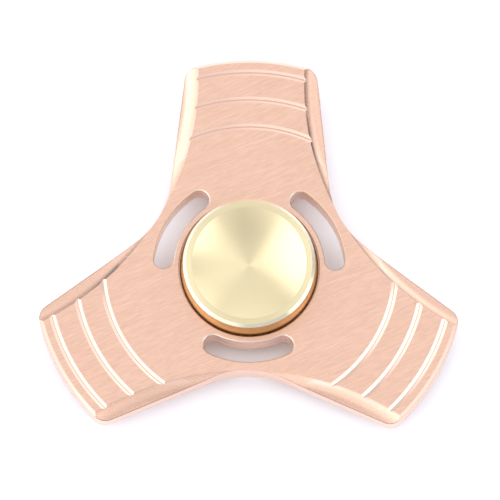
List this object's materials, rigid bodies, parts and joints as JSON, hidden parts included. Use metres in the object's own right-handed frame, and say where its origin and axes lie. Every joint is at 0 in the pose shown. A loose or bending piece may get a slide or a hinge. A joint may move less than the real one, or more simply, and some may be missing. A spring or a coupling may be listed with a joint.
{
  "type": "fidget spinner",
  "caption": "Three-arm copper fidget spinner with scooped, grooved arms, curved slots and dished brass finger caps on a ball bearing.",
  "frame": {"origin": "middle of the bearing: on the spin axis, halfway through the thickness of the copper body", "axes": "+Z along the spin axis, out of the top finger cap; one arm points along +Y and the other two along -30 and 210 degrees from +X"},
  "size_m": [0.0648, 0.0577, 0.0118],
  "materials": {
    "copper": "solid copper, satin brushed",
    "brass_cap": "turned brass, fine concentric tool marks",
    "black_steel": "black oxide",
    "bearing_steel": "ground",
    "ball_steel": "polished",
    "shield_steel": "stamped, satin",
    "spring_wire": "drawn wire",
    "cage_nylon": "moulded nylon"
  },
  "bodies": {
    "hub": {"top_cap": "brass_cap", "bottom_cap": "brass_cap", "set_screw": "black_steel", "bearing_inner_ring": "bearing_steel"},
    "rotor": {"copper_body": "copper", "bearing_outer_ring": "bearing_steel", "shield_top": "shield_steel", "shield_bottom": "shield_steel", "snap_ring_top": "spring_wire", "snap_ring_bottom": "spring_wire"},
    "cage": {"ball_cage": "cage_nylon"},
    "ball_01": {"ball_01": "ball_steel"},
    "ball_02": {"ball_02": "ball_steel"},
    "ball_03": {"ball_03": "ball_steel"},
    "ball_04": {"ball_04": "ball_steel"},
    "ball_05": {"ball_05": "ball_steel"},
    "ball_06": {"ball_06": "ball_steel"},
    "ball_07": {"ball_07": "ball_steel"},
    "ball_08": {"ball_08": "ball_steel"},
    "ball_09": {"ball_09": "ball_steel"},
    "ball_10": {"ball_10": "ball_steel"}
  },
  "joints": [
    {"name": "spin", "type": "hinge", "parent": "hub", "child": "rotor", "pos_m": [0, 0, 0], "axis": [0, 0, 1], "continuous": true},
    {"name": "cage_spin", "type": "hinge", "parent": "hub", "child": "cage", "pos_m": [0, 0, 0], "axis": [0, 0, 1], "continuous": true},
    {"name": "ball_01_spin", "type": "hinge", "parent": "cage", "child": "ball_01", "pos_m": [0.00385, 0.0028, 0], "axis": [0, 0, 1], "continuous": true},
    {"name": "ball_02_spin", "type": "hinge", "parent": "cage", "child": "ball_02", "pos_m": [0.00147, 0.00453, 0], "axis": [0, 0, 1], "continuous": true},
    {"name": "ball_03_spin", "type": "hinge", "parent": "cage", "child": "ball_03", "pos_m": [-0.00147, 0.00453, 0], "axis": [0, 0, 1], "continuous": true},
    {"name": "ball_04_spin", "type": "hinge", "parent": "cage", "child": "ball_04", "pos_m": [-0.00385, 0.0028, 0], "axis": [0, 0, 1], "continuous": true},
    {"name": "ball_05_spin", "type": "hinge", "parent": "cage", "child": "ball_05", "pos_m": [-0.00476, 0, 0], "axis": [0, 0, 1], "continuous": true},
    {"name": "ball_06_spin", "type": "hinge", "parent": "cage", "child": "ball_06", "pos_m": [-0.00385, -0.0028, 0], "axis": [0, 0, 1], "continuous": true},
    {"name": "ball_07_spin", "type": "hinge", "parent": "cage", "child": "ball_07", "pos_m": [-0.00147, -0.00453, 0], "axis": [0, 0, 1], "continuous": true},
    {"name": "ball_08_spin", "type": "hinge", "parent": "cage", "child": "ball_08", "pos_m": [0.00147, -0.00453, 0], "axis": [0, 0, 1], "continuous": true},
    {"name": "ball_09_spin", "type": "hinge", "parent": "cage", "child": "ball_09", "pos_m": [0.00385, -0.0028, 0], "axis": [0, 0, 1], "continuous": true},
    {"name": "ball_10_spin", "type": "hinge", "parent": "cage", "child": "ball_10", "pos_m": [0.00476, 0, 0], "axis": [0, 0, 1], "continuous": true}
  ],
  "couplings": [
    {"joint": "cage_spin", "follows": "spin", "ratio": 0.60415},
    {"joint": "ball_01_spin", "follows": "spin", "ratio": 2.2963},
    {"joint": "ball_02_spin", "follows": "spin", "ratio": 2.2963},
    {"joint": "ball_03_spin", "follows": "spin", "ratio": 2.2963},
    {"joint": "ball_04_spin", "follows": "spin", "ratio": 2.2963},
    {"joint": "ball_05_spin", "follows": "spin", "ratio": 2.2963},
    {"joint": "ball_06_spin", "follows": "spin", "ratio": 2.2963},
    {"joint": "ball_07_spin", "follows": "spin", "ratio": 2.2963},
    {"joint": "ball_08_spin", "follows": "spin", "ratio": 2.2963},
    {"joint": "ball_09_spin", "follows": "spin", "ratio": 2.2963},
    {"joint": "ball_10_spin", "follows": "spin", "ratio": 2.2963}
  ]
}
